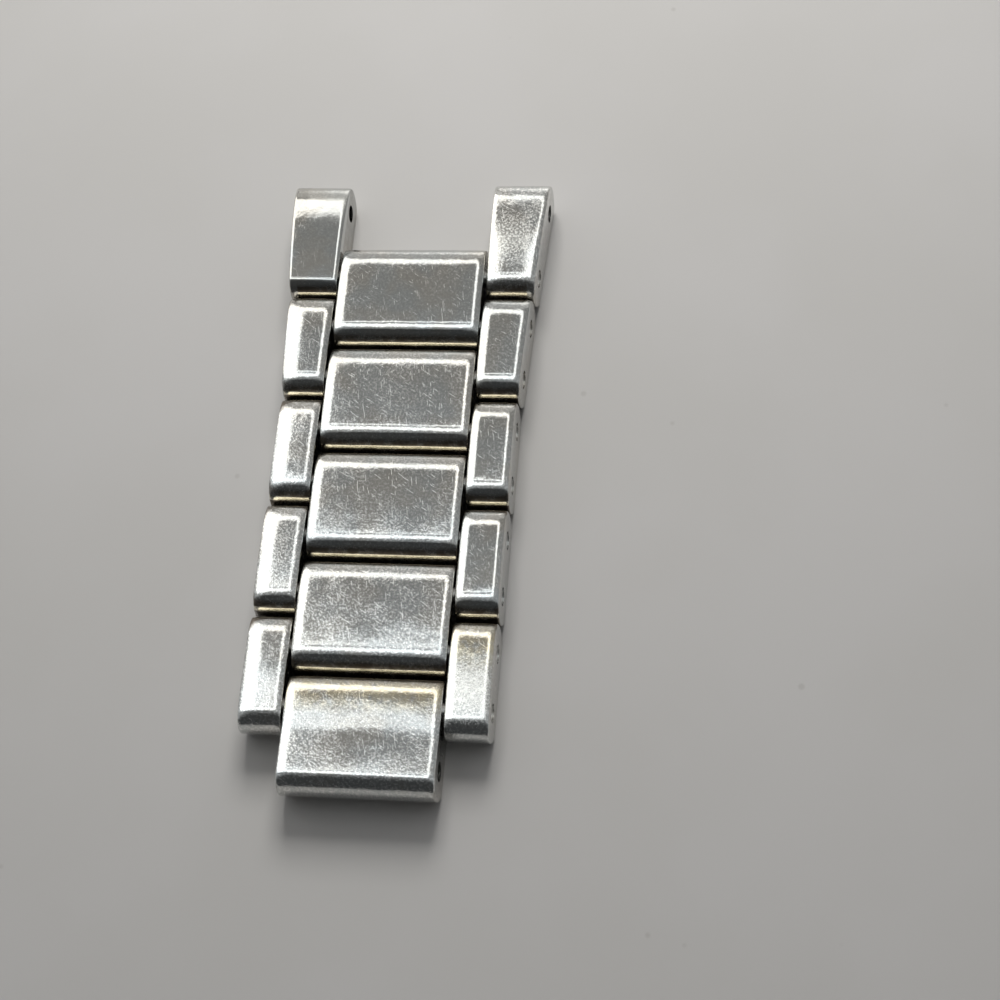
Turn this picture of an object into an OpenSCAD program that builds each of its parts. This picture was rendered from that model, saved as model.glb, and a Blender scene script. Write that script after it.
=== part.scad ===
// Section of a three-row steel watch bracelet. Five centre links and five pairs
// of outer links are joined by nine cross pins, each one a hinge. The pair at
// the upper end is longer and flares out, and its free holes take the next link.
// Millimetres. X runs across the bracelet, Y along it to the flared end, and Z
// up through the polished faces. The origin lies on the flat underside, half way
// along the section and half way across it.

/* [Bracelet] */
// width of each centre link
centre_w = 10; // [8:0.5:12]
// width of each plain outer link
outer_w = 2.85; // [2.4:0.05:3.4]
// gap between a centre link and the outer link beside it
side_gap = 0.15; // [0.1:0.05:0.25]
// distance from one centre link to the next one
row_pitch = 7.8; // [7.4:0.1:8.8]
// gap between two links that follow each other in one column
end_gap = 0.12; // [0.08:0.02:0.2]
// thickness of every link at the middle of its face
link_t = 3.4; // [3:0.1:3.6]

/* [Shape of a link] */
// radius of the rounded ends seen from the side
nose_r = 2.4; // [2.1:0.1:3]
// radius of the gentle arch along the polished face
crown_r = 42; // [30:1:90]
// bevel where the face turns down into an end, measured along the face
lip_bevel = 0.26; // [0.2:0.02:0.5]
// bevel where the underside turns up into an end, measured along the underside
heel_bevel = 0.24; // [0.1:0.02:0.4]
// bevel along the two long edges of the face
face_bevel = 0.3; // [0.2:0.02:0.6]
// bevel along the two long edges of the underside
under_bevel = 0.2; // [0.1:0.05:0.4]
// bevel across the four corners seen from above
corner_bevel = 0.25; // [0.1:0.05:0.4]

/* [Flared end] */
// extra length of the two flared links over a plain outer link
horn_extra = 1.3; // [0.6:0.1:2.4]
// spread of the flared links past the plain width, at their tips
tip_spread = 1.1; // [0.6:0.1:1.6]
// the same spread at their lower ends
foot_spread = 0.5; // [0.3:0.05:0.6]
// spread of the second pair at its upper end
second_spread = 0.42; // [0.2:0.02:0.5]
// spread of the second pair at its lower end
second_foot_spread = 0.08; // [0:0.02:0.14]

/* [Pins] */
// diameter of each cross pin and of the holes it is pressed into
pin_d = 1.2; // [0.9:0.05:1.4]
// gap all round a pin in the centre link that turns on it
turn_gap = 0.03; // [0.02:0.01:0.06]
// depth of the pin ends below the outer sides of the links
pin_recess = 0.08; // [0.05:0.01:0.15]
// bevel on both ends of a pin
pin_bevel = 0.12; // [0.05:0.01:0.2]

/* [Hidden] */
$fn = 96;
fine = 480;
pairs = 5;
half_pitch = row_pitch / 2;
link_len = row_pitch - end_gap;
end_reach = (half_pitch - end_gap) / 2;
horn_len = link_len + horn_extra;
axis_z = link_t / 2;
pin_r = pin_d / 2;
inner_x = centre_w / 2 + side_gap;
plain_x = inner_x + outer_w;
over = link_t;
steel = [0.75, 0.75, 0.76];
pin_steel = [0.62, 0.62, 0.63];

// Pins are counted from the flared end. Pin 0 is the free hole there, and the
// pin after the last one is the free hole in the lowest centre link.
first_pin_y = (2 * (pairs - 1) * half_pitch - horn_extra) / 2;
function pin_y(i) = first_pin_y - (i - 1) * half_pitch;
horn_hole_y = pin_y(0) + horn_extra;

// A link is drawn about its own middle, so these give each middle.
function centre_y(i) = (pin_y(2 * i - 1) + pin_y(2 * i)) / 2;
function outer_y(i) = i == 1 ? (horn_hole_y + pin_y(1)) / 2 : (pin_y(2 * i - 2) + pin_y(2 * i - 1)) / 2;
function outer_len(i) = i == 1 ? horn_len : link_len;
function hole_span(i) = outer_len(i) / 2 - end_reach;

// Spread of a pair of outer links at the upper and the lower end.
function upper_spread(i) = i == 1 ? tip_spread : i == 2 ? second_spread : 0;
function lower_spread(i) = i == 1 ? foot_spread : i == 2 ? second_foot_spread : 0;
function mid_spread(i) = (upper_spread(i) + lower_spread(i)) / 2;
function lean(i) = atan((upper_spread(i) - lower_spread(i)) / outer_len(i));
function side_x(i, y) = plain_x + mid_spread(i) + (y - outer_y(i)) * tan(lean(i));

// Direction of a vector, as a vector of length one, and a list of points in the
// opposite order.
function way(v) = v / norm(v);
function backwards(pts) = [for (i = [1:len(pts)]) pts[len(pts) - i]];

// Side view of the upper end of a link, for a link of length len: middle of the
// circle that rounds the end, and where that circle meets the underside and the
// arched face.
function nose_mid(len) = [len / 2 - nose_r, axis_z];
function heel(len) = [len / 2 - nose_r + sqrt(nose_r * nose_r - axis_z * axis_z), 0];
arch_mid = [0, link_t - crown_r];
function lip(len) =
  let (
    apart = norm(nose_mid(len) - arch_mid),
    up = way(nose_mid(len) - arch_mid),
    rise = (crown_r * crown_r - nose_r * nose_r + apart * apart) / (2 * apart)
  ) arch_mid + up * rise + [up[1], -up[0]] * sqrt(crown_r * crown_r - rise * rise);

// Side view of a link: arched face, flat underside, two rounded ends, and a
// narrow flat bevel between each of them.
module side_view(len) {
  lip_out = way(lip(len) - nose_mid(len));
  lip_up = way(lip(len) - arch_mid);
  lip_way = way([lip_out[1], -lip_out[0]] + [lip_up[1], -lip_up[0]]);
  lip_start = lip(len) - [lip_up[1], -lip_up[0]] * lip_bevel;
  heel_out = way(heel(len) - nose_mid(len));
  heel_way = way([-heel_out[1], heel_out[0]] + [1, 0]);
  heel_start = heel(len) - [heel_bevel, 0];
  half_outline = [
    heel_start,
    heel_start + heel_way * nose_r,
    lip_start + lip_way * nose_r,
    lip_start - lip_way * nose_r
  ];
  intersection() {
    translate(arch_mid) circle(crown_r, $fn = fine);
    union() {
      for (end = [-1, 1]) translate([end * nose_mid(len)[0], axis_z]) circle(nose_r, $fn = fine);
      translate([-nose_mid(len)[0], axis_z - nose_r]) square([2 * nose_mid(len)[0], 2 * nose_r]);
    }
    polygon(concat(half_outline, [for (p = backwards(half_outline)) [-p[0], p[1]]]));
  }
}

// Four corners given in order round the shape, each cut off by a flat bevel
// that runs on past the end of the link. The first and third sides are the ends.
module bevelled_plan(pts) {
  function cut(corner, along_side, along_end) = [
    pts[corner] + along_side * corner_bevel,
    pts[corner] + along_end * corner_bevel + way(along_end - along_side) * over
  ];
  right = way(pts[2] - pts[1]);
  up = [0, 1];
  across = [1, 0];
  polygon(concat(
    cut(0, up, across),
    backwards(cut(1, right, -across)),
    cut(2, -right, -across),
    backwards(cut(3, -up, across))
  ));
}

// Bar that bevels the four long edges of a link. Only its slanted planes cut,
// the others stand clear of the link.
module bevelled_bar(x_left, x_right, len) {
  clear = face_bevel;
  rotate([90, 0, 0]) linear_extrude(2 * len, center = true) polygon([
    [x_left + under_bevel + clear, -clear],
    [x_right - under_bevel - clear, -clear],
    [x_right + clear, under_bevel + clear],
    [x_right + clear, link_t - face_bevel - clear],
    [x_right - face_bevel - clear, link_t + clear],
    [x_left + face_bevel + clear, link_t + clear],
    [x_left - clear, link_t - face_bevel - clear],
    [x_left - clear, under_bevel + clear]
  ]);
}

// One link without its holes. Its left side is at x_left, and its right side
// at x_right half way along, leaning out by the given angle.
module link_blank(len, x_left, x_right, angle) {
  slope = tan(angle) * len / 2;
  intersection() {
    translate([x_left - len, 0, 0]) rotate([90, 0, 90]) linear_extrude(x_right - x_left + 2 * len) side_view(len);
    translate([0, 0, -over]) linear_extrude(link_t + 2 * over) bevelled_plan([
      [x_left, -len / 2],
      [x_right - slope, -len / 2],
      [x_right + slope, len / 2],
      [x_left, len / 2]
    ]);
    bevelled_bar(x_left, angle == 0 ? x_right : x_right + len, len);
    if (angle != 0) translate([x_right, 0, 0]) rotate([0, 0, -angle]) bevelled_bar(x_left - x_right - len, 0, len);
  }
}

module cross_hole(y, r) {
  translate([-plain_x * 2, y, axis_z]) rotate([0, 90, 0]) cylinder(h = plain_x * 4, r = r);
}

module centre_link(i) {
  color(steel) translate([0, centre_y(i), 0]) difference() {
    link_blank(link_len, -centre_w / 2, centre_w / 2, 0);
    for (end = [-1, 1]) cross_hole(end * half_pitch / 2, pin_r + turn_gap);
  }
}

module outer_link_right(i) {
  color(steel) translate([0, outer_y(i), 0]) difference() {
    link_blank(outer_len(i), inner_x, plain_x + mid_spread(i), lean(i));
    for (end = [-1, 1]) cross_hole(end * hole_span(i), pin_r);
  }
}

module outer_link_left(i) {
  mirror([1, 0, 0]) outer_link_right(i);
}

module hinge_pin(i) {
  pair = floor(i / 2) + 1;
  half = side_x(pair, pin_y(i)) - pin_recess;
  color(pin_steel) translate([0, pin_y(i), axis_z]) rotate([0, 90, 0]) rotate_extrude() polygon([
    [0, -half],
    [pin_r - pin_bevel, -half],
    [pin_r, pin_bevel - half],
    [pin_r, half - pin_bevel],
    [pin_r - pin_bevel, half],
    [0, half]
  ]);
}

module outer_link_1_left() { outer_link_left(1); }
module outer_link_1_right() { outer_link_right(1); }
module centre_link_1() { centre_link(1); }
module outer_link_2_left() { outer_link_left(2); }
module outer_link_2_right() { outer_link_right(2); }
module centre_link_2() { centre_link(2); }
module outer_link_3_left() { outer_link_left(3); }
module outer_link_3_right() { outer_link_right(3); }
module centre_link_3() { centre_link(3); }
module outer_link_4_left() { outer_link_left(4); }
module outer_link_4_right() { outer_link_right(4); }
module centre_link_4() { centre_link(4); }
module outer_link_5_left() { outer_link_left(5); }
module outer_link_5_right() { outer_link_right(5); }
module centre_link_5() { centre_link(5); }
module hinge_pin_1() { hinge_pin(1); }
module hinge_pin_2() { hinge_pin(2); }
module hinge_pin_3() { hinge_pin(3); }
module hinge_pin_4() { hinge_pin(4); }
module hinge_pin_5() { hinge_pin(5); }
module hinge_pin_6() { hinge_pin(6); }
module hinge_pin_7() { hinge_pin(7); }
module hinge_pin_8() { hinge_pin(8); }
module hinge_pin_9() { hinge_pin(9); }

outer_link_1_left();
outer_link_1_right();
centre_link_1();
outer_link_2_left();
outer_link_2_right();
centre_link_2();
outer_link_3_left();
outer_link_3_right();
centre_link_3();
outer_link_4_left();
outer_link_4_right();
centre_link_4();
outer_link_5_left();
outer_link_5_right();
centre_link_5();
hinge_pin_1();
hinge_pin_2();
hinge_pin_3();
hinge_pin_4();
hinge_pin_5();
hinge_pin_6();
hinge_pin_7();
hinge_pin_8();
hinge_pin_9();
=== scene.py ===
"""Looks of a worn three-row steel bracelet section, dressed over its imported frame."""
import math

import bmesh
import bpy
from mathutils import Matrix, Vector


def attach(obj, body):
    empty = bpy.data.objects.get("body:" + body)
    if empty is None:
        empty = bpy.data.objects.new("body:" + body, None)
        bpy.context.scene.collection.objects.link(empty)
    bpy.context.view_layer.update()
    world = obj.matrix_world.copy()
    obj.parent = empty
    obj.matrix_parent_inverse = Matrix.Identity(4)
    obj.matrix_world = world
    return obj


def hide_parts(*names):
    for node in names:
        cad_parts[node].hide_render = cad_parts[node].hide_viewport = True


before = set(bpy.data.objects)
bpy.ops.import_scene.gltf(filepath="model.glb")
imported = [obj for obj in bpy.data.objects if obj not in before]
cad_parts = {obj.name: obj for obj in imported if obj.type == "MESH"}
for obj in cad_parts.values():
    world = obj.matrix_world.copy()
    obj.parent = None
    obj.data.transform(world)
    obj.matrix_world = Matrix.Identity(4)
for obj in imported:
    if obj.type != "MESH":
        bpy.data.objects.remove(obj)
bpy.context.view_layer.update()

# Sizes in millimetres, as in the part's source. Only the links' lengths are a hair shorter, so
# that their true curves stay inside the part's box.
MM = 0.001
CENTRE_W = 10.0
OUTER_W = 2.85
SIDE_GAP = 0.15
HALF_PITCH = 3.9
LINK_T = 3.4
PIN_Z = LINK_T / 2
NOSE_R = 2.4
CROWN_R = 42.0
LINK_LEN = 7.674
FORK_LEN = 8.974
HOLE_REACH = 1.887
PIN_R = 0.6
TURN_GAP = 0.03
FIRST_PIN_Y = 14.95
PAIRS = 5
# spread of a pair of outer links past the plain width, at its upper and lower end
SPREADS = {1: (1.085, 0.5), 2: (0.42, 0.08)}
# the end of a row that no other link follows: 1 is the upper end, -1 the lower
OPEN_END = {1: 1, PAIRS: -1}

# A polisher has rolled each edge of a face in a wide curve, which stops at a slope in degrees
# and goes over a tight corner into the side or the round end
ROLL_SLOPE = 30.0
SIDE_CORNER = 0.16
HEEL_ROLL = 0.7
CENTRE_ROLL = 1.3
INNER_ROLL = 1.1
OUTER_ROLL = {"left": 2.2, "right": 0.9}
# inner and outer side of each fork link
FORK_ROLLS = {"left": (0.45, 0.2), "right": (0.45, 0.45)}
# at an end of a face: the wide curve, the corner after it, and the slope in degrees where one
# passes into the other
UPPER_LIP = (2.9, 0.9, 30.0)
LOWER_LIP = (1.5, 1.8, 30.0)
CRISP_LIP = (0.5, 1.7, 30.0)
BARE_LIP = (1.0, 1.6, 22.0)
ODD_LOWER_LIPS = {
    "outer_link_1_left": CRISP_LIP, "centre_link_5": BARE_LIP,
    "outer_link_5_left": BARE_LIP, "outer_link_5_right": BARE_LIP,
}
# how finely each curve is cut up
HEEL_STEPS = 5
NOSE_STEPS = 12
ARCH_STEPS = 14
WIDE_STEPS = 6
CORNER_STEPS = 4
FACE_ROWS = 10

# Worn slope of a face, in degrees: towards its lower end, towards its outer side, and the extra
# bend that it has gained at its upper end; then how far the sides of its lower half are worn
# down, in mm
WORN = {
    "outer_link_5_right": (2.6, 0.0, 0.0, 0.0),
    "outer_link_5_left": (1.0, 1.0, 0.0, 0.0),
    "outer_link_1_right": (0.0, 0.0, 0.0, 0.20),
    "outer_link_3_left": (0.0, 1.8, 0.0, 0.0),
    "outer_link_1_left": (0.0, -2.0, 10.0, 0.0),
}
UNWORN = (0.0, 0.0, 0.0, 0.0)
# degrees worn off both halves of a face, which leaves the crown nearly flat
FLATTENED = {"centre_link_5": 3.4}
# every face drops by this much at its sides, in mm, and by this power of the way there
SIDE_DROP = 0.04
SIDE_POWER = 2.4
# where the lower half begins to count: its share at the middle, and how fast that grows
LOWER_SHARE = 0.55
LOWER_GROWTH = 2.2

# How much the faces have been rubbed to a fine frost, from 0 to 1
RUBBED = {
    "centre_link_1": 0.35, "outer_link_1_left": 0.2, "outer_link_1_right": 0.9,
    "centre_link_2": 0.6, "outer_link_2_left": 0.6, "outer_link_2_right": 0.45,
    "centre_link_3": 0.65, "outer_link_3_left": 1.0, "outer_link_3_right": 0.5,
    "centre_link_4": 0.85, "outer_link_4_left": 1.0, "outer_link_4_right": 0.45,
    "centre_link_5": 0.85, "outer_link_5_left": 1.0, "outer_link_5_right": 0.9,
}
# Straw-coloured film that also paints a warm reflection, and frosted bands that paint a bright
# highlight, across a face: how far down the face the middle lies and how far the strong part
# reaches from it, both as shares of the face's length
# the film is a straw tarnish that also paints a warm reflection: its bright straw colour lightens
# the face
TARNISH_AND_SHEEN = {
    "centre_link_5": (0.16, 0.10),
    "outer_link_5_right": (0.25, 0.12),
}
# the frosted bands paint a highlight: a near-white colour laid over the face; only their extra
# roughness is real
SATIN_AND_HIGHLIGHT_BANDS = {
    "outer_link_5_right": (0.62, 0.20),
    "outer_link_1_right": (0.57, 0.13),
    "outer_link_1_left": (0.20, 0.09),
}
# the rubbed rim of a face, as a share of its width and on top of that in mm
RIM_SHARE = 0.09
RIM_LEAST = 0.2
# film with its painted reflection, and frost with its painted highlight, stay this far from the
# sides, in mm
BAND_INSET = 0.05
# added in mm to the gap at an open end, so that neither dirt nor painted shade lies there
OPEN_GAP = 10.0


def pin_y(i):
    return FIRST_PIN_Y - (i - 1) * HALF_PITCH


def centre_y(i):
    return (pin_y(2 * i - 1) + pin_y(2 * i)) / 2


def outer_y(i):
    upper = pin_y(0) + (FORK_LEN - LINK_LEN) if i == 1 else pin_y(2 * i - 2)
    return (upper + pin_y(2 * i - 1)) / 2


# Link bodies
def arc(bm, start, middle, degrees, steps):
    """Carry a point round a middle in the side view, and return the last point."""
    made = bmesh.ops.spin(
        bm, geom=[start], cent=(0, *middle), axis=(1, 0, 0), dvec=(0, 0, 0),
        angle=math.radians(degrees), steps=steps, use_merge=False, use_duplicate=False)
    return [v for v in made["geom_last"] if isinstance(v, bmesh.types.BMVert)][0]


def meeting(first, far, second, near):
    """Point at one distance from a first point and at another from a second, towards the end."""
    apart_y, apart_z = second[0] - first[0], second[1] - first[1]
    apart = math.hypot(apart_y, apart_z)
    rise = (far ** 2 - near ** 2 + apart ** 2) / (2 * apart)
    reach = math.sqrt(far ** 2 - rise ** 2)
    return (first[0] + (apart_y * rise + apart_z * reach) / apart,
            first[1] + (apart_z * rise - apart_y * reach) / apart)


def lip(nose, roll, corner, steepest):
    """Middles of the wide curve and of the corner at an end, and the turns where they start."""
    slope = math.radians(steepest)
    shift_y, shift_z = ((roll - corner) * f(slope) for f in (math.sin, math.cos))
    lip_y, lip_z = meeting((0, LINK_T - CROWN_R), CROWN_R - roll,
                           (nose - shift_y, PIN_Z - shift_z), NOSE_R - corner)
    tip_y, tip_z = lip_y + shift_y, lip_z + shift_z
    tip_turn = math.degrees(math.atan2(tip_z - PIN_Z, tip_y - nose)) + 90
    arch_turn = math.degrees(math.asin(lip_y / (CROWN_R - roll)))
    return (lip_y, lip_z), (tip_y, tip_z), tip_turn, arch_turn


def side_outline(bm, length, lower_lip):
    """Closed side view of a link in the plane x = 0, with every corner rounded."""
    nose = length / 2 - NOSE_R
    heel_y = nose + math.sqrt((NOSE_R - HEEL_ROLL) ** 2 - (PIN_Z - HEEL_ROLL) ** 2)
    heel_turn = math.degrees(math.atan2(HEEL_ROLL - PIN_Z, heel_y - nose)) + 90
    upper, upper_tip, upper_turn, upper_arch = lip(nose, *UPPER_LIP)
    lower, lower_tip, lower_turn, lower_arch = lip(nose, *lower_lip)
    upper_slope, lower_slope = UPPER_LIP[2], lower_lip[2]
    point = start = bm.verts.new((0, heel_y, 0))
    for middle, turn, steps in (
        ((heel_y, HEEL_ROLL), heel_turn, HEEL_STEPS),
        ((nose, PIN_Z), upper_turn - heel_turn, NOSE_STEPS),
        (upper_tip, 180 - upper_slope - upper_turn, CORNER_STEPS),
        (upper, upper_slope - upper_arch, WIDE_STEPS),
        ((0, LINK_T - CROWN_R), upper_arch + lower_arch, ARCH_STEPS),
        ((-lower[0], lower[1]), lower_slope - lower_arch, WIDE_STEPS),
        ((-lower_tip[0], lower_tip[1]), 180 - lower_slope - lower_turn, CORNER_STEPS),
        ((-nose, PIN_Z), lower_turn - heel_turn, NOSE_STEPS),
        ((-heel_y, HEEL_ROLL), heel_turn, HEEL_STEPS),
    ):
        point = arc(bm, point, middle, turn, steps)
    bm.edges.new((point, start))
    return bmesh.ops.contextual_create(bm, geom=list(bm.edges))["faces"]


def roll_width(size):
    """How much of a link's width one side's wide roll and corner take."""
    sine = math.sin(math.radians(ROLL_SLOPE))
    return size * sine + SIDE_CORNER * (1 - sine)


def roll_side(bm, side, size):
    """Round off a link's whole rim on one side: a wide curve first, then a tight corner."""
    curves = ((size, 0.0, ROLL_SLOPE, WIDE_STEPS), (SIDE_CORNER, ROLL_SLOPE, 90.0, CORNER_STEPS))
    for radius, low, high, steps in curves:
        for step in range(steps):
            was, now = (math.radians(low + (high - low) * k / steps) for k in (step, step + 1))
            bmesh.ops.inset_region(
                bm, faces=side, thickness=radius * (math.cos(was) - math.cos(now)),
                depth=radius * (math.sin(now) - math.sin(was)), use_even_offset=True,
                use_boundary=True)


def drawn_in(size, past):
    """How far the wide roll has drawn the outline in, at a distance past its start."""
    lean = math.asin(min(max(past / size, 0.0), math.sin(math.radians(ROLL_SLOPE))))
    return size * (1 - math.cos(lean))


def link_shape(node, length, x_left, x_right, roll_left, roll_right, spread=(0, 0)):
    """A worn link about its own middle, with its right side leaning out by the spread."""
    bm = bmesh.new()
    first = side_outline(bm, length, ODD_LOWER_LIPS.get(node, LOWER_LIP))
    bmesh.ops.translate(bm, vec=(x_left + roll_width(roll_left), 0, 0), verts=bm.verts)
    face = first
    row = (x_right - roll_width(roll_right) - x_left - roll_width(roll_left)) / FACE_ROWS
    for k in range(FACE_ROWS):
        made = bmesh.ops.extrude_face_region(bm, geom=face)["geom"]
        new_points = [g for g in made if isinstance(g, bmesh.types.BMVert)]
        bmesh.ops.translate(bm, vec=(row, 0, 0), verts=new_points)
        if k:
            bmesh.ops.delete(bm, geom=face, context="FACES_ONLY")
        face = [g for g in made if isinstance(g, bmesh.types.BMFace)]
    bmesh.ops.recalc_face_normals(bm, faces=bm.faces)
    roll_side(bm, first, roll_left)
    roll_side(bm, face, roll_right)
    width = x_right - x_left
    *degrees, lower_sides = WORN.get(node, UNWORN)
    slope_down, slope_out, bend, flattened = (
        math.tan(math.radians(w)) for w in (*degrees, FLATTENED.get(node, 0.0)))
    for v in bm.verts:
        share = (v.co.x - x_left) / width
        side = share * 2 - 1
        # the wide rolls draw the whole outline in: the ends are drawn out again to the full
        # length, and the underside goes back down to the table
        lost = max(drawn_in(roll_left, x_left + roll_width(roll_left) - v.co.x),
                   drawn_in(roll_right, v.co.x - x_right + roll_width(roll_right)))
        v.co.y *= length / (length - 2 * lost * min(1.0, 0.5 + 0.5 * v.co.z / PIN_Z))
        if v.co.z < PIN_Z:
            v.co.z -= lost * (1 - (v.co.z - lost) / (PIN_Z - lost))
        if v.co.z > PIN_Z:
            low = min(1.0, max(0.0, LOWER_SHARE - LOWER_GROWTH * v.co.y / length))
            drop = SIDE_DROP * abs(side) ** SIDE_POWER
            drop += lower_sides * abs(side) ** SIDE_POWER * low * low * (3 - 2 * low)
            drop += abs(slope_down) * length / 2 - slope_down * v.co.y
            drop += flattened * (length / 2 - abs(v.co.y))
            drop += abs(slope_out) * width * (share if slope_out > 0 else 1 - share)
            drop += bend * max(0.0, v.co.y) ** 2 / length
            v.co.z -= drop * (v.co.z - PIN_Z) / PIN_Z
        v.co.x += share * (spread[1] + (spread[0] - spread[1]) * (v.co.y / length + 0.5))
    bm.normal_update()
    return bm


def finish_mesh(name, bm, place):
    """Make an object in metres from a body drawn in millimetres, moved to its place."""
    bmesh.ops.translate(bm, vec=place, verts=bm.verts)
    bmesh.ops.scale(bm, vec=(MM, MM, MM), verts=bm.verts)
    mesh = bpy.data.meshes.new(name)
    bm.to_mesh(mesh)
    bm.free()
    piece = bpy.data.objects.new(name, mesh)
    bpy.context.scene.collection.objects.link(piece)
    return piece


def drill(piece, holes, drill_length=30, drill_sides=48):
    """Cut the cross holes through a link. Each hole is a place along the section and a radius."""
    cutters = []
    for y, r in holes:
        bm = bmesh.new()
        bmesh.ops.create_cone(bm, cap_ends=True, segments=drill_sides, radius1=r, radius2=r,
                              depth=drill_length)
        bmesh.ops.rotate(bm, matrix=Matrix.Rotation(math.pi / 2, 3, "Y"), verts=bm.verts)
        cutter = finish_mesh("hole_drill", bm, (0, y, PIN_Z))
        cut = piece.modifiers.new("hole", "BOOLEAN")
        cut.object = cutter
        cut.operation = "DIFFERENCE"
        cut.solver = "EXACT"
        cutters.append(cutter)
    bpy.context.view_layer.update()
    done = bpy.data.meshes.new_from_object(
        piece.evaluated_get(bpy.context.evaluated_depsgraph_get()))
    piece.modifiers.clear()
    piece.data = done
    for cutter in cutters:
        bpy.data.objects.remove(cutter)


def smooth_faces(piece, crease=38, flat_weight=80):
    """Shade a piece smooth up to a crease in degrees, with its large faces kept flat."""
    piece.data.shade_smooth()
    piece.data.set_sharp_from_angle(angle=math.radians(crease))
    keep = piece.modifiers.new("flat faces stay flat", "WEIGHTED_NORMAL")
    keep.mode = "FACE_AREA"
    keep.weight = flat_weight
    keep.keep_sharp = True


# Finishes. A noise scale is the number of waves in a millimetre.
class NodeBench:
    """Short way to place nodes in a tree and join them."""

    def __init__(self, tree):
        self.tree = tree

    def put(self, kind, settings=None, **inputs):
        node = self.tree.nodes.new(kind)
        for key, value in (settings or {}).items():
            setattr(node, key, value)
        for key, value in inputs.items():
            self.feed(node, key, value)
        return node

    def feed(self, node, key, value):
        """Set or join a socket, which goes by its name, or by i and its number."""
        numbered = key[0] == "i" and key[1:].isdigit()
        socket = node.inputs[int(key[1:]) if numbered else key]
        if isinstance(value, bpy.types.NodeSocket):
            self.tree.links.new(value, socket)
        else:
            socket.default_value = value

    def use(self, group, **inputs):
        """Place a node group."""
        return self.put("ShaderNodeGroup", {"node_tree": group}, **inputs)

    def calc(self, how, a, b=0.0, clamp=False):
        settings = {"operation": how, "use_clamp": clamp}
        return self.put("ShaderNodeMath", settings, i0=a, i1=b).outputs[0]

    def times(self, a, b, clamp=False):
        return self.calc("MULTIPLY", a, b, clamp)

    def vector(self, how, a, b):
        return self.put("ShaderNodeVectorMath", {"operation": how}, i0=a, i1=b).outputs[0]

    def scaled(self, vector, scale):
        node = self.put("ShaderNodeVectorMath", {"operation": "SCALE"}, i0=vector, Scale=scale)
        return node.outputs[0]

    def noise(self, place, scale, detail, output="Fac", **more):
        node = self.put("ShaderNodeTexNoise", Vector=place, Scale=scale, Detail=detail, **more)
        return node.outputs[output]

    def ramp(self, value, low, high, out_low=0.0, out_high=1.0):
        """Smooth change from one number to another while the value goes from low to high."""
        node = self.put("ShaderNodeMapRange", {"interpolation_type": "SMOOTHSTEP"}, Value=value)
        limits = (("From Min", low), ("From Max", high), ("To Min", out_low), ("To Max", out_high))
        for key, number in limits:
            node.inputs[key].default_value = number
        return node.outputs["Result"]

    def fall(self, value, low, high):
        return self.ramp(value, low, high, 1.0, 0.0)

    def band(self, value, start, risen, falling, end):
        """1 inside a band of values and 0 outside it, with soft sides."""
        return self.times(self.ramp(value, start, risen), self.fall(value, falling, end))

    def blend(self, share, a, b):
        node = self.put("ShaderNodeMix", {"data_type": "RGBA"}, i0=share, i6=a, i7=b)
        return node.outputs[2]


def node_group(name, inputs, outputs):
    """A new group with its bench, what it is given, and the node that takes its results."""
    tree = bpy.data.node_groups.new(name, "ShaderNodeTree")
    for label, kind, value in inputs:
        socket = tree.interface.new_socket(name=label, in_out="INPUT", socket_type=kind)
        if value is not None:
            socket.default_value = value
    for label in outputs:
        tree.interface.new_socket(name=label, in_out="OUTPUT", socket_type="NodeSocketFloat")
    s = NodeBench(tree)
    return tree, s, s.put("NodeGroupInput").outputs, s.put("NodeGroupOutput")


# turn in degrees, length and width in mm, and a number that makes each layer different
FINE_STROKES = (
    (12, 0.16, 0.035, 1), (50, 0.14, 0.03, 2), (84, 0.20, 0.035, 3), (118, 0.14, 0.03, 4),
    (155, 0.16, 0.035, 5),
)
FINE_LEVELS = (0.55, 0.72)
# the same for two long ones, then their levels: the higher those are, the rarer the marks
LONG_STROKES = ((80, 0.7, 0.045, 7, 0.76, 0.82), (33, 0.6, 0.045, 9, 0.77, 0.83))
# how far strokes wander off their line, and how far apart the layers lie in the noise
STROKE_WANDER = 0.12
LAYER_STEP = (3.7, 1.9, 1)
# shares of the strokes, the frost and the rims in the fine marks
STROKE_SHARE = 0.30
FROST_SHARE = 0.85
RIM_FROST = 0.9


def stroke_layer(s, place, turn, length, width, seed, low, high):
    """Short straight marks that all run roughly one way, broken up into strokes."""
    bend = s.noise(place, 0.45 + seed * 0.01, 1.0, "Color")
    moved = s.vector("ADD", place, s.scaled(bend, STROKE_WANDER))
    turned = s.put("ShaderNodeVectorRotate", {"rotation_type": "Z_AXIS"}, Vector=moved,
                   Angle=math.radians(turn)).outputs[0]
    stretched = s.vector("MULTIPLY", turned, (1 / length, 1 / width, 1.0))
    offset = s.vector("ADD", stretched, [seed * step for step in LAYER_STEP])
    return s.ramp(s.noise(offset, 1.0, 0.0), low, high)


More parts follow.
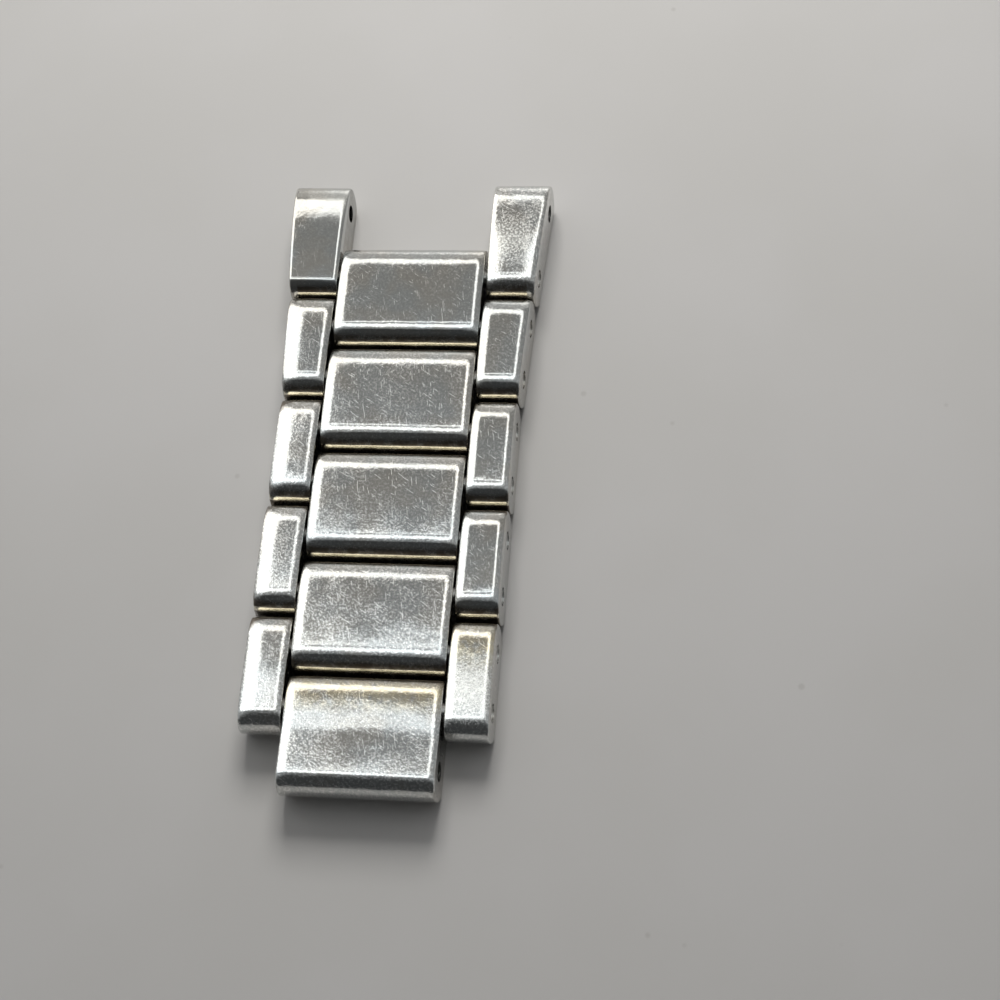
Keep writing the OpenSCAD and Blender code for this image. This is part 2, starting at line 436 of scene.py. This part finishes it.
def build_scratches():
    """Fine strokes and frost where a face is rubbed, and a few long marks."""
    tree, s, given, result = node_group(
        "fine scratches",
        [("Place", "NodeSocketVector", None), ("Rubbed", "NodeSocketFloat", 0.6),
         ("Edge", "NodeSocketFloat", 0.0)],
        ["Mask", "Height"])
    place, rubbed = given["Place"], given["Rubbed"]
    strokes = stroke_layer(s, place, *FINE_STROKES[0], *FINE_LEVELS)
    for values in FINE_STROKES[1:]:
        strokes = s.calc("MAXIMUM", strokes, stroke_layer(s, place, *values, *FINE_LEVELS))
    long_marks = s.calc("MAXIMUM", *(stroke_layer(s, place, *values) for values in LONG_STROKES))
    frost = s.ramp(s.noise(place, 6.5, 2.0, Roughness=0.6), 0.45, 0.66)
    cloudy = s.times(s.ramp(s.noise(place, 0.45, 3.0), 0.36, 0.62, 0.6, 1.0), rubbed)
    where = s.calc("MAXIMUM", cloudy, s.times(given["Edge"], RIM_FROST))
    fine = s.calc("ADD", s.times(strokes, STROKE_SHARE), s.times(frost, FROST_SHARE))
    long_marks = s.times(long_marks, s.calc("ADD", rubbed, 0.1))
    mask = s.calc("MAXIMUM", s.times(fine, where), long_marks, clamp=True)
    s.feed(result, "Mask", mask)
    s.feed(result, "Height", s.times(mask, -1.0))
    return tree


# Where dirt packs and shade is painted, in mm from an end and in mm of height; the walls as shares
# of the half width
DIRT_AND_SHADE_END = (1.25, 1.35)
DIRT_AND_SHADE_HEIGHT = (2.80, 3.05)
WALL = (0.97, 0.99)
WALL_HEIGHT = (2.5, 2.7)
# a painted gold highlight line across each joint, where no dirt lies, in mm of height
HIGHLIGHT_LINE_HEIGHTS = (2.26, 2.32, 2.52, 2.58)
# how much less dirt and painted shade lie on the sides that face away from the section, in the
# joints and beside
FREE_LOSS_LOW = 0.7
FREE_LOSS_WALL = 0.5


def build_grime_and_shade():
    """Dirt that also paints the shade, in the joints and between the columns, with one painted
    highlight line across the joints.
    """
    tree, s, given, result = node_group(
        "packed grime and painted shade",
        [("Place", "NodeSocketVector", None), ("Upper Gap", "NodeSocketFloat", 9.0),
         ("Lower Gap", "NodeSocketFloat", 9.0), ("Across", "NodeSocketFloat", 0.0),
         ("Free Side", "NodeSocketFloat", 0.0)],
        ["Dirt", "Rubbed Line"])
    place, across = given["Place"], given["Across"]
    height = s.put("ShaderNodeSeparateXYZ", Vector=place).outputs["Z"]
    uneven = s.ramp(s.noise(place, 1.6, 4.0, Roughness=0.65), 0.30, 0.60, 0.65, 1.0)
    end = s.fall(s.calc("MINIMUM", given["Upper Gap"], given["Lower Gap"]), *DIRT_AND_SHADE_END)
    wall = s.ramp(s.calc("ABSOLUTE", across), *WALL)
    free = s.ramp(s.times(across, given["Free Side"]), *WALL)
    # the painted highlight line, which also keeps the dirt off
    line = s.times(s.band(height, *HIGHLIGHT_LINE_HEIGHTS), s.times(end, s.calc("SUBTRACT", 1.0, wall)))
    low = s.times(s.fall(height, *DIRT_AND_SHADE_HEIGHT), s.calc("SUBTRACT", end, line))
    low = s.times(low, s.calc("SUBTRACT", 1.0, s.times(free, FREE_LOSS_LOW)))
    beside = s.times(s.calc("SUBTRACT", wall, s.times(free, FREE_LOSS_WALL)),
                     s.ramp(height, *WALL_HEIGHT, 0.5, 0.0))
    s.feed(result, "Dirt", s.times(s.calc("MAXIMUM", low, beside), uneven, clamp=True))
    s.feed(result, "Rubbed Line", line)
    return tree


SCRATCHES = build_scratches()
GRIME_AND_SHADE = build_grime_and_shade()
# what each point of a link stores for its finish
POINT_VALUES = ("edge", "rubbed", "tarnish_and_sheen", "satin_and_highlight", "upper_gap", "lower_gap", "across",
                "free_side")
# bright straw colour of the film, which also paints a warm reflection
FILM_AND_SHEEN_COLOUR = (0.90, 0.80, 0.56, 1)
# near-white colour of the painted highlight in the frosted bands
PAINTED_HIGHLIGHT_COLOUR = (0.97, 0.96, 0.91, 1)
# pale gold colour of the painted highlight line in the joints
HIGHLIGHT_LINE_COLOUR = (0.80, 0.76, 0.64, 1)
# near-black dirt that also paints the shade in the joints and on the walls between the columns
DIRT_AND_SHADE_COLOUR = (0.12, 0.095, 0.07, 1)
DIRT_AND_SHADE_COVER = 0.92
# added to the roughness by marks, frost and dirt, and by the uneven polish
MARK_DULL = 0.09
FROST_DULL = 0.28
DIRT_DULL = 0.2
POLISH_DULL = 0.04
# depth of the waves in the polish and of the scratches, in metres
WAVE_DEPTH = 0.00005
CUT_DEPTH = 0.000006


def new_surface(name, **inputs):
    """A material, its bench, its shader, and the place of each point in millimetres."""
    mat = bpy.data.materials.new(name)
    mat.use_nodes = True
    tree = mat.node_tree
    tree.nodes.clear()
    s = NodeBench(tree)
    out = s.put("ShaderNodeOutputMaterial")
    shader = s.put("ShaderNodeBsdfPrincipled", **inputs)
    tree.links.new(shader.outputs[0], out.inputs["Surface"])
    coords = s.put("ShaderNodeTexCoord").outputs["Object"]
    place = s.put("ShaderNodeMapping", Vector=coords, Scale=(1 / MM, 1 / MM, 1 / MM)).outputs[0]
    return mat, s, shader, place


def steel(name, warm, cool, scratched, shine, on_links):
    """Polished steel that has been worn: scratches, rubbed bands that also paint highlights, a
    film that also paints a warm reflection, and grime in the joints that also paints their shade.
    """
    mat, s, shader, place = new_surface(name, Metallic=1.0)
    marks = s.use(SCRATCHES, Place=place)
    mask = marks.outputs["Mask"]
    tone = s.noise(place, 0.3, 2.0)
    colour = s.blend(mask, s.blend(s.ramp(tone, 0.38, 0.62), warm, cool), scratched)
    rough = s.calc("ADD", s.ramp(tone, 0.3, 0.7, shine, shine + POLISH_DULL),
                   s.times(mask, MARK_DULL))
    if on_links:
        edge, rubbed, tarnish_and_sheen, satin_and_highlight, upper_gap, lower_gap, across, free_side = (
            s.put("ShaderNodeAttribute", {"attribute_name": label}).outputs["Fac"]
            for label in POINT_VALUES)
        s.feed(marks, "Edge", edge)
        s.feed(marks, "Rubbed", rubbed)
        grime_and_shade = s.use(GRIME_AND_SHADE, **{
            "Place": place, "Upper Gap": upper_gap, "Lower Gap": lower_gap, "Across": across,
            "Free Side": free_side}).outputs
        # straw film near the upper part of a face, which also paints a warm reflection
        film_and_sheen = s.times(tarnish_and_sheen, s.ramp(s.noise(place, 1.5, 3.0), 0.30, 0.60, 0.2, 0.8))
        colour = s.blend(film_and_sheen, colour, FILM_AND_SHEEN_COLOUR)
        # frosted bands: a painted highlight in the colour, with real extra roughness
        frost_and_highlight = s.times(satin_and_highlight, s.ramp(mask, 0.1, 0.6, 0.45, 1.0))
        colour = s.blend(frost_and_highlight, colour, PAINTED_HIGHLIGHT_COLOUR)
        rough = s.calc("ADD", rough, s.times(frost_and_highlight, FROST_DULL))
        # painted highlight: a pale gold line across each joint
        colour = s.blend(grime_and_shade["Rubbed Line"], colour, HIGHLIGHT_LINE_COLOUR)
        # dirt that also paints shade: darker in the joints and between the columns
        colour = s.blend(s.times(grime_and_shade["Dirt"], DIRT_AND_SHADE_COVER), colour, DIRT_AND_SHADE_COLOUR)
        rough = s.calc("ADD", rough, s.times(grime_and_shade["Dirt"], DIRT_DULL))
    waves = s.put("ShaderNodeBump", Height=s.noise(place, 0.5, 3.5), Strength=1.0,
                  Distance=WAVE_DEPTH)
    cuts = s.put("ShaderNodeBump", Height=marks.outputs["Height"], Strength=0.5,
                 Distance=CUT_DEPTH, Normal=waves.outputs[0])
    s.feed(shader, "Base Color", colour)
    s.feed(shader, "Roughness", rough)
    s.feed(shader, "Normal", cuts.outputs[0])
    return mat


# each steel has a warm and a cool tone, the colour of its marks, and its least roughness
LINK_STEEL = steel("scratched polished steel", (0.59, 0.575, 0.535, 1), (0.54, 0.56, 0.555, 1),
                   (0.96, 0.955, 0.935, 1), 0.08, True)
PIN_STEEL = steel("pin steel", (0.55, 0.54, 0.51, 1), (0.52, 0.52, 0.51, 1),
                  (0.68, 0.67, 0.65, 1), 0.28, False)


def mark_surface(piece, node, middle_y, length, low_x, high_x, open_end, free_side):
    """Store on each point how rubbed it is and how far it lies from its neighbours, in mm."""
    mesh = piece.data
    for label in POINT_VALUES:
        mesh.attributes.new(label, "FLOAT", "POINT")
    values = {label: mesh.attributes[label].data for label in POINT_VALUES}
    margin = RIM_SHARE * (high_x - low_x) + RIM_LEAST
    for v in mesh.vertices:
        x, y, z = (c / MM for c in v.co)
        y -= middle_y
        beside = min(x - low_x, high_x - x)
        inside = min(beside, length / 2 - abs(y))
        stored = {
            "edge": min(1.0, max(0.0, 2 - inside / margin)) ** 2 * RUBBED[node],
            "rubbed": RUBBED[node],
            "upper_gap": length / 2 - y + (OPEN_GAP if open_end == 1 else 0),
            "lower_gap": length / 2 + y + (OPEN_GAP if open_end == -1 else 0),
            "across": (2 * x - low_x - high_x) / (high_x - low_x),
            "free_side": free_side,
        }
        for label, bands in (("tarnish_and_sheen", TARNISH_AND_SHEEN), ("satin_and_highlight", SATIN_AND_HIGHLIGHT_BANDS)):
            if node in bands and z > PIN_Z and beside > BAND_INSET:
                band, reach = bands[node]
                stored[label] = max(0.0, 1 - abs(0.5 - y / length - band) / reach / 2)
        for label, number in stored.items():
            values[label][v.index].value = number


def dress(node, body, piece):
    """Put a finished link over its plain solid, on the solid's own moving body."""
    piece.data.materials.clear()
    piece.data.materials.append(LINK_STEEL)
    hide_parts(node)
    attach(piece, body)


def add_centre_link(i):
    y = centre_y(i)
    half = CENTRE_W / 2
    node = f"centre_link_{i}"
    bm = link_shape(node, LINK_LEN, -half, half, CENTRE_ROLL, INNER_ROLL)
    piece = finish_mesh(f"polished_centre_link_{i}", bm, (0, y, 0))
    drill(piece, [(pin_y(2 * i - 1), PIN_R + TURN_GAP), (pin_y(2 * i), PIN_R + TURN_GAP)])
    mark_surface(piece, node, y, LINK_LEN, -half, half, OPEN_END.get(i), 0)
    smooth_faces(piece)
    dress(node, f"centre_row_{i}", piece)


def add_outer_link(i, side):
    """A right link, or its mirror image on the left."""
    y = outer_y(i)
    length = FORK_LEN if i == 1 else LINK_LEN
    inner = CENTRE_W / 2 + SIDE_GAP
    outer = inner + OUTER_W
    node = f"outer_link_{i}_{side}"
    rolls = FORK_ROLLS[side] if i == 1 else (INNER_ROLL, OUTER_ROLL[side])
    bm = link_shape(node, length, inner, outer, *rolls, SPREADS.get(i, (0, 0)))
    if side == "left":
        bmesh.ops.scale(bm, vec=(-1, 1, 1), verts=bm.verts)
        bmesh.ops.reverse_faces(bm, faces=bm.faces)
    piece = finish_mesh(f"polished_outer_link_{i}_{side}", bm, (0, y, 0))
    reach = length / 2 - HOLE_REACH
    drill(piece, [(y + reach, PIN_R), (y - reach, PIN_R)])
    sign = -1 if side == "left" else 1
    sides = sorted((sign * inner, sign * outer))
    mark_surface(piece, node, y, length, *sides, OPEN_END.get(i), sign)
    smooth_faces(piece)
    dress(node, f"outer_row_{i}", piece)


for number in range(1, PAIRS + 1):
    add_centre_link(number)
    for side_name in ("left", "right"):
        add_outer_link(number, side_name)
for number in range(1, 2 * PAIRS):
    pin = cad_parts[f"hinge_pin_{number}"]
    pin.data.materials.clear()
    pin.data.materials.append(PIN_STEEL)


# Table, light and camera
TABLE_HALF = 1200
# the table lies a hair under the links, so that the two never flicker through each other
TABLE_Z = -0.02


def add_table():
    """Pale table with a faint mottle and a few specks of dust."""
    bm = bmesh.new()
    bmesh.ops.create_grid(bm, x_segments=1, y_segments=1, size=TABLE_HALF)
    table = finish_mesh("table_top", bm, (0, 0, TABLE_Z))
    mat, s, shader, place = new_surface("pale table", Roughness=0.6)
    mottle = s.ramp(s.noise(place, 0.05, 3.0), 0.35, 0.65)
    colour = s.blend(mottle, (0.60, 0.59, 0.57, 1), (0.62, 0.61, 0.595, 1))
    dots = s.put("ShaderNodeTexVoronoi", {"feature": "F1"}, Vector=place, Scale=0.16)
    dust = s.times(s.fall(dots.outputs["Distance"], 0.02, 0.045), 0.25)
    s.feed(shader, "Base Color", s.blend(dust, colour, (0.33, 0.31, 0.28, 1)))
    table.data.materials.append(mat)


# The room that the steel mirrors, by the direction of the mirrored ray: x goes to the right,
# y away from the viewer, z up. A patch has its low and high x, then its low and high y; the
# power makes its corners round.
GREY_PATCH = (-0.36, 0.09, 0.00, 0.68)
RING_PATCH = (-0.90, 0.31, -0.25, 0.83)
PATCH_POWER = 3.0
RING_STRENGTH = 1.55
# bright slot across the grey patch, which only the last links mirror: where along y it starts,
# is full, begins to fade and ends, and its strength as a share of the ring's
SLOT = (0.16, 0.19, 0.225, 0.25)
SLOT_STRENGTH = 1.3
# Strengths that change with y or z: where the change starts and ends, then the strength before
# and after it. The first three add up: the ceiling, then the far wall, which is brightest where
# it meets the table.
CEILING = (0.12, 0.55, 0.40, 0.29)
FAR_WALL = (0.84, 0.90, 0.0, 0.25)
FAR_FOOT = (0.955, 0.985, 0.0, 0.9)
# these two dim all of it: the near side, where the viewer stands, and the lowest directions
NEAR_SIDE = (-0.64, -0.30, 0.13, 1.0)
LOW_DOWN = (-0.02, 0.10, 0.5, 1.0)


def add_room_light():
    """Soft room: a grey patch overhead, bright light round it, a dim near side."""
    world = bpy.data.worlds.new("soft room")
    bpy.context.scene.world = world
    world.use_nodes = True
    tree = world.node_tree
    tree.nodes.clear()
    s = NodeBench(tree)
    out = s.put("ShaderNodeOutputWorld")
    sky = s.put("ShaderNodeBackground")
    tree.links.new(sky.outputs[0], out.inputs["Surface"])
    where = s.put("ShaderNodeTexCoord").outputs["Generated"]
    x, y, z = s.put("ShaderNodeSeparateXYZ", Vector=where).outputs

    def patch(x_low, x_high, y_low, y_high):
        """How far a direction lies from the middle of a rounded patch, whose rim is at 1."""
        powers = []
        for value, low, high in ((x, x_low, x_high), (y, y_low, y_high)):
            away = s.calc("SUBTRACT", value, (low + high) / 2)
            away = s.calc("ABSOLUTE", s.calc("DIVIDE", away, (high - low) / 2))
            powers.append(s.calc("POWER", away, PATCH_POWER))
        return s.calc("POWER", s.calc("ADD", *powers), 1 / PATCH_POWER)

    inner = patch(*GREY_PATCH)
    outer = patch(*RING_PATCH)
    ring = s.times(s.ramp(inner, 0.92, 1.06), s.fall(outer, 0.96, 1.04))
    slot = s.times(s.times(s.band(y, *SLOT), SLOT_STRENGTH), s.fall(inner, 0.9, 1.0))
    bright = s.times(s.calc("MAXIMUM", ring, slot), RING_STRENGTH)
    level = s.calc("ADD", bright, s.ramp(y, *CEILING))
    for wall in (FAR_WALL, FAR_FOOT):
        level = s.calc("ADD", level, s.ramp(y, *wall))
    for value, dimming in ((y, NEAR_SIDE), (z, LOW_DOWN)):
        level = s.times(level, s.ramp(value, *dimming))
    tint = s.blend(s.ramp(y, 0.1, 0.6), (0.94, 0.98, 1.0, 1), (1.0, 0.985, 0.95, 1))
    mirrored = s.scaled(tint, level)
    # the steel mirrors that room, and the table gets an even, weaker light
    path = s.put("ShaderNodeLightPath").outputs
    fill = s.blend(s.ramp(y, -0.25, 0.45), (0.055, 0.055, 0.057, 1), (0.478, 0.478, 0.483, 1))
    lit = s.blend(path["Is Glossy Ray"], fill, mirrored)
    s.feed(sky, "Color", s.blend(path["Is Camera Ray"], lit, (0.75, 0.745, 0.735, 1)))


def add_lamp(name, place, aim, size, power, colour):
    """Square soft lamp, which lights the table and isn't mirrored."""
    data = bpy.data.lights.new(name, "AREA")
    data.shape = "SQUARE"
    data.size = size * MM
    data.energy = power
    data.color = colour
    lamp = bpy.data.objects.new(name, data)
    bpy.context.scene.collection.objects.link(lamp)
    lamp.location = Vector(place) * MM
    lamp.rotation_euler = (Vector(aim) - Vector(place)).to_track_quat("-Z", "Y").to_euler()
    lamp.visible_glossy = False


# The photo's camera, fitted to the links: its focal length in pixels of a picture 1000 wide, the
# directions of its axes, and how far the section's middle lies along each of them in mm
SENSOR = 36.0
FOCAL_PIXELS = 2014.249
PICTURE_PIXELS = 1000
CAMERA_RIGHT = (0.9885270690, 0.0811371805, -0.1274009101)
CAMERA_DOWN = (0.0214627193, -0.9103659855, -0.4132470497)
CAMERA_AHEAD = (-0.1495111555, 0.4057715248, -0.9016628439)
CAMERA_SHIFT = (-6.8274504238, -0.9976322060, 134.5209748390)


def add_camera():
    """The photo's own view of the section."""
    data = bpy.data.cameras.new("photo view")
    data.sensor_width = SENSOR
    data.lens = SENSOR * FOCAL_PIXELS / PICTURE_PIXELS
    data.clip_start = 0.005
    camera = bpy.data.objects.new("photo view", data)
    bpy.context.scene.collection.objects.link(camera)
    turn = Matrix((CAMERA_RIGHT, [-c for c in CAMERA_DOWN],
                   [-c for c in CAMERA_AHEAD])).transposed()
    axes = Matrix((CAMERA_RIGHT, CAMERA_DOWN, CAMERA_AHEAD))
    where = -(axes.transposed() @ Vector(CAMERA_SHIFT))
    camera.matrix_world = Matrix.Translation(where * MM) @ turn.to_4x4()
    bpy.context.scene.camera = camera


add_table()
add_room_light()
add_lamp("far soft lamp", (5, 125, 120), (0, 0, 0), 70, 0.203, (1.0, 0.985, 0.965))
add_camera()
bpy.context.scene.view_settings.view_transform = "Standard"
